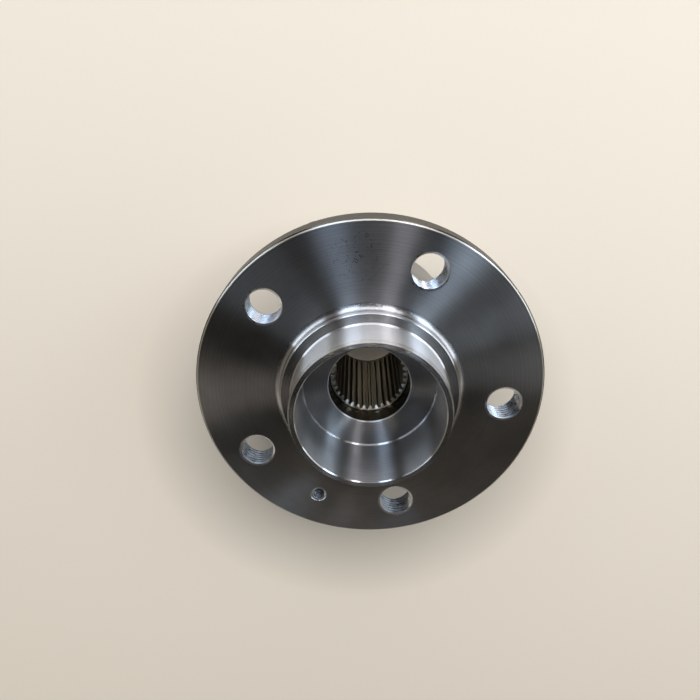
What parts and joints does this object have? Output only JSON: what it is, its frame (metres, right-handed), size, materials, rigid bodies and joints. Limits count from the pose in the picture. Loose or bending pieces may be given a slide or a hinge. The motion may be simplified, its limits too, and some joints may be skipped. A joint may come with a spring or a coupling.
{
  "type": "wheel hub bearing",
  "caption": "Driven wheel hub bearing: flanged splined hub turning on two ball rows in a bolted outer ring, with seals and an encoder ring.",
  "frame": {"origin": "centre of the wheel face of the flange, on the bearing's axis", "axes": "+Z along the axis out of the nose, towards the wheel; +X through the centre of one wheel bolt hole"},
  "size_m": [0.128, 0.128, 0.0844],
  "materials": {
    "turned_steel": "fine-turned bare steel",
    "ground_steel": "ground bearing steel",
    "forged_steel": "turned forging",
    "ball_steel": "polished",
    "pressed_steel": "pressed sheet",
    "cage_polyamide": "moulded glass-filled polyamide",
    "seal_rubber": "moulded nitrile rubber",
    "encoder_rubber": "magnetised rubber"
  },
  "bodies": {
    "outer": {"outer_ring": "forged_steel", "outboard_seal_case": "pressed_steel", "outboard_seal_lip": "seal_rubber", "inboard_seal_case": "pressed_steel", "inboard_seal_lip": "seal_rubber"},
    "rotor": {"hub": "turned_steel", "inner_ring": "ground_steel", "inboard_slinger": "pressed_steel", "encoder_ring": "encoder_rubber"},
    "cage_set_outboard": {"cage_outboard": "cage_polyamide"},
    "cage_set_inboard": {"cage_inboard": "cage_polyamide"},
    "ball_outboard_01_body": {"ball_outboard_01": "ball_steel"},
    "ball_outboard_02_body": {"ball_outboard_02": "ball_steel"},
    "ball_outboard_03_body": {"ball_outboard_03": "ball_steel"},
    "ball_outboard_04_body": {"ball_outboard_04": "ball_steel"},
    "ball_outboard_05_body": {"ball_outboard_05": "ball_steel"},
    "ball_outboard_06_body": {"ball_outboard_06": "ball_steel"},
    "ball_outboard_07_body": {"ball_outboard_07": "ball_steel"},
    "ball_outboard_08_body": {"ball_outboard_08": "ball_steel"},
    "ball_outboard_09_body": {"ball_outboard_09": "ball_steel"},
    "ball_outboard_10_body": {"ball_outboard_10": "ball_steel"},
    "ball_outboard_11_body": {"ball_outboard_11": "ball_steel"},
    "ball_outboard_12_body": {"ball_outboard_12": "ball_steel"},
    "ball_outboard_13_body": {"ball_outboard_13": "ball_steel"},
    "ball_inboard_01_body": {"ball_inboard_01": "ball_steel"},
    "ball_inboard_02_body": {"ball_inboard_02": "ball_steel"},
    "ball_inboard_03_body": {"ball_inboard_03": "ball_steel"},
    "ball_inboard_04_body": {"ball_inboard_04": "ball_steel"},
    "ball_inboard_05_body": {"ball_inboard_05": "ball_steel"},
    "ball_inboard_06_body": {"ball_inboard_06": "ball_steel"},
    "ball_inboard_07_body": {"ball_inboard_07": "ball_steel"},
    "ball_inboard_08_body": {"ball_inboard_08": "ball_steel"},
    "ball_inboard_09_body": {"ball_inboard_09": "ball_steel"},
    "ball_inboard_10_body": {"ball_inboard_10": "ball_steel"},
    "ball_inboard_11_body": {"ball_inboard_11": "ball_steel"},
    "ball_inboard_12_body": {"ball_inboard_12": "ball_steel"},
    "ball_inboard_13_body": {"ball_inboard_13": "ball_steel"}
  },
  "joints": [
    {"name": "hub_spin", "type": "hinge", "parent": "outer", "child": "rotor", "pos_m": [0, 0, -0.037], "axis": [0, 0, 1], "continuous": true},
    {"name": "cage_outboard_orbit", "type": "hinge", "parent": "outer", "child": "cage_set_outboard", "pos_m": [0, 0, -0.027], "axis": [0, 0, 1], "continuous": true},
    {"name": "cage_inboard_orbit", "type": "hinge", "parent": "outer", "child": "cage_set_inboard", "pos_m": [0, 0, -0.047], "axis": [0, 0, 1], "continuous": true},
    {"name": "ball_outboard_01_spin", "type": "hinge", "parent": "cage_set_outboard", "child": "ball_outboard_01_body", "pos_m": [0.0285, 0, -0.027], "axis": [0.5736, 0, 0.8192], "continuous": true},
    {"name": "ball_outboard_02_spin", "type": "hinge", "parent": "cage_set_outboard", "child": "ball_outboard_02_body", "pos_m": [0.02524, 0.01324, -0.027], "axis": [0.5079, 0.2666, 0.8192], "continuous": true},
    {"name": "ball_outboard_03_spin", "type": "hinge", "parent": "cage_set_outboard", "child": "ball_outboard_03_body", "pos_m": [0.01619, 0.02346, -0.027], "axis": [0.3258, 0.472, 0.8192], "continuous": true},
    {"name": "ball_outboard_04_spin", "type": "hinge", "parent": "cage_set_outboard", "child": "ball_outboard_04_body", "pos_m": [0.00344, 0.02829, -0.027], "axis": [0.0691, 0.5694, 0.8192], "continuous": true},
    {"name": "ball_outboard_05_spin", "type": "hinge", "parent": "cage_set_outboard", "child": "ball_outboard_05_body", "pos_m": [-0.01011, 0.02665, -0.027], "axis": [-0.2034, 0.5363, 0.8192], "continuous": true},
    {"name": "ball_outboard_06_spin", "type": "hinge", "parent": "cage_set_outboard", "child": "ball_outboard_06_body", "pos_m": [-0.02133, 0.0189, -0.027], "axis": [-0.4293, 0.3804, 0.8192], "continuous": true},
    {"name": "ball_outboard_07_spin", "type": "hinge", "parent": "cage_set_outboard", "child": "ball_outboard_07_body", "pos_m": [-0.02767, 0.00682, -0.027], "axis": [-0.5569, 0.1373, 0.8192], "continuous": true},
    {"name": "ball_outboard_08_spin", "type": "hinge", "parent": "cage_set_outboard", "child": "ball_outboard_08_body", "pos_m": [-0.02767, -0.00682, -0.027], "axis": [-0.5569, -0.1373, 0.8192], "continuous": true},
    {"name": "ball_outboard_09_spin", "type": "hinge", "parent": "cage_set_outboard", "child": "ball_outboard_09_body", "pos_m": [-0.02133, -0.0189, -0.027], "axis": [-0.4293, -0.3804, 0.8192], "continuous": true},
    {"name": "ball_outboard_10_spin", "type": "hinge", "parent": "cage_set_outboard", "child": "ball_outboard_10_body", "pos_m": [-0.01011, -0.02665, -0.027], "axis": [-0.2034, -0.5363, 0.8192], "continuous": true},
    {"name": "ball_outboard_11_spin", "type": "hinge", "parent": "cage_set_outboard", "child": "ball_outboard_11_body", "pos_m": [0.00344, -0.02829, -0.027], "axis": [0.0691, -0.5694, 0.8192], "continuous": true},
    {"name": "ball_outboard_12_spin", "type": "hinge", "parent": "cage_set_outboard", "child": "ball_outboard_12_body", "pos_m": [0.01619, -0.02346, -0.027], "axis": [0.3258, -0.472, 0.8192], "continuous": true},
    {"name": "ball_outboard_13_spin", "type": "hinge", "parent": "cage_set_outboard", "child": "ball_outboard_13_body", "pos_m": [0.02524, -0.01324, -0.027], "axis": [0.5079, -0.2666, 0.8192], "continuous": true},
    {"name": "ball_inboard_01_spin", "type": "hinge", "parent": "cage_set_inboard", "child": "ball_inboard_01_body", "pos_m": [0.0285, 0, -0.047], "axis": [-0.5736, 0, 0.8192], "continuous": true},
    {"name": "ball_inboard_02_spin", "type": "hinge", "parent": "cage_set_inboard", "child": "ball_inboard_02_body", "pos_m": [0.02524, 0.01324, -0.047], "axis": [-0.5079, -0.2666, 0.8192], "continuous": true},
    {"name": "ball_inboard_03_spin", "type": "hinge", "parent": "cage_set_inboard", "child": "ball_inboard_03_body", "pos_m": [0.01619, 0.02346, -0.047], "axis": [-0.3258, -0.472, 0.8192], "continuous": true},
    {"name": "ball_inboard_04_spin", "type": "hinge", "parent": "cage_set_inboard", "child": "ball_inboard_04_body", "pos_m": [0.00344, 0.02829, -0.047], "axis": [-0.0691, -0.5694, 0.8192], "continuous": true},
    {"name": "ball_inboard_05_spin", "type": "hinge", "parent": "cage_set_inboard", "child": "ball_inboard_05_body", "pos_m": [-0.01011, 0.02665, -0.047], "axis": [0.2034, -0.5363, 0.8192], "continuous": true},
    {"name": "ball_inboard_06_spin", "type": "hinge", "parent": "cage_set_inboard", "child": "ball_inboard_06_body", "pos_m": [-0.02133, 0.0189, -0.047], "axis": [0.4293, -0.3804, 0.8192], "continuous": true},
    {"name": "ball_inboard_07_spin", "type": "hinge", "parent": "cage_set_inboard", "child": "ball_inboard_07_body", "pos_m": [-0.02767, 0.00682, -0.047], "axis": [0.5569, -0.1373, 0.8192], "continuous": true},
    {"name": "ball_inboard_08_spin", "type": "hinge", "parent": "cage_set_inboard", "child": "ball_inboard_08_body", "pos_m": [-0.02767, -0.00682, -0.047], "axis": [0.5569, 0.1373, 0.8192], "continuous": true},
    {"name": "ball_inboard_09_spin", "type": "hinge", "parent": "cage_set_inboard", "child": "ball_inboard_09_body", "pos_m": [-0.02133, -0.0189, -0.047], "axis": [0.4293, 0.3804, 0.8192], "continuous": true},
    {"name": "ball_inboard_10_spin", "type": "hinge", "parent": "cage_set_inboard", "child": "ball_inboard_10_body", "pos_m": [-0.01011, -0.02665, -0.047], "axis": [0.2034, 0.5363, 0.8192], "continuous": true},
    {"name": "ball_inboard_11_spin", "type": "hinge", "parent": "cage_set_inboard", "child": "ball_inboard_11_body", "pos_m": [0.00344, -0.02829, -0.047], "axis": [-0.0691, 0.5694, 0.8192], "continuous": true},
    {"name": "ball_inboard_12_spin", "type": "hinge", "parent": "cage_set_inboard", "child": "ball_inboard_12_body", "pos_m": [0.01619, -0.02346, -0.047], "axis": [-0.3258, 0.472, 0.8192], "continuous": true},
    {"name": "ball_inboard_13_spin", "type": "hinge", "parent": "cage_set_inboard", "child": "ball_inboard_13_body", "pos_m": [0.02524, -0.01324, -0.047], "axis": [-0.5079, 0.2666, 0.8192], "continuous": true}
  ],
  "couplings": [
    {"joint": "cage_outboard_orbit", "follows": "hub_spin", "ratio": 0.42015},
    {"joint": "cage_inboard_orbit", "follows": "hub_spin", "ratio": 0.42015},
    {"joint": "ball_outboard_01_spin", "follows": "hub_spin", "ratio": -2.4993},
    {"joint": "ball_outboard_02_spin", "follows": "hub_spin", "ratio": -2.4993},
    {"joint": "ball_outboard_03_spin", "follows": "hub_spin", "ratio": -2.4993},
    {"joint": "ball_outboard_04_spin", "follows": "hub_spin", "ratio": -2.4993},
    {"joint": "ball_outboard_05_spin", "follows": "hub_spin", "ratio": -2.4993},
    {"joint": "ball_outboard_06_spin", "follows": "hub_spin", "ratio": -2.4993},
    {"joint": "ball_outboard_07_spin", "follows": "hub_spin", "ratio": -2.4993},
    {"joint": "ball_outboard_08_spin", "follows": "hub_spin", "ratio": -2.4993},
    {"joint": "ball_outboard_09_spin", "follows": "hub_spin", "ratio": -2.4993},
    {"joint": "ball_outboard_10_spin", "follows": "hub_spin", "ratio": -2.4993},
    {"joint": "ball_outboard_11_spin", "follows": "hub_spin", "ratio": -2.4993},
    {"joint": "ball_outboard_12_spin", "follows": "hub_spin", "ratio": -2.4993},
    {"joint": "ball_outboard_13_spin", "follows": "hub_spin", "ratio": -2.4993},
    {"joint": "ball_inboard_01_spin", "follows": "hub_spin", "ratio": -2.4993},
    {"joint": "ball_inboard_02_spin", "follows": "hub_spin", "ratio": -2.4993},
    {"joint": "ball_inboard_03_spin", "follows": "hub_spin", "ratio": -2.4993},
    {"joint": "ball_inboard_04_spin", "follows": "hub_spin", "ratio": -2.4993},
    {"joint": "ball_inboard_05_spin", "follows": "hub_spin", "ratio": -2.4993},
    {"joint": "ball_inboard_06_spin", "follows": "hub_spin", "ratio": -2.4993},
    {"joint": "ball_inboard_07_spin", "follows": "hub_spin", "ratio": -2.4993},
    {"joint": "ball_inboard_08_spin", "follows": "hub_spin", "ratio": -2.4993},
    {"joint": "ball_inboard_09_spin", "follows": "hub_spin", "ratio": -2.4993},
    {"joint": "ball_inboard_10_spin", "follows": "hub_spin", "ratio": -2.4993},
    {"joint": "ball_inboard_11_spin", "follows": "hub_spin", "ratio": -2.4993},
    {"joint": "ball_inboard_12_spin", "follows": "hub_spin", "ratio": -2.4993},
    {"joint": "ball_inboard_13_spin", "follows": "hub_spin", "ratio": -2.4993}
  ]
}
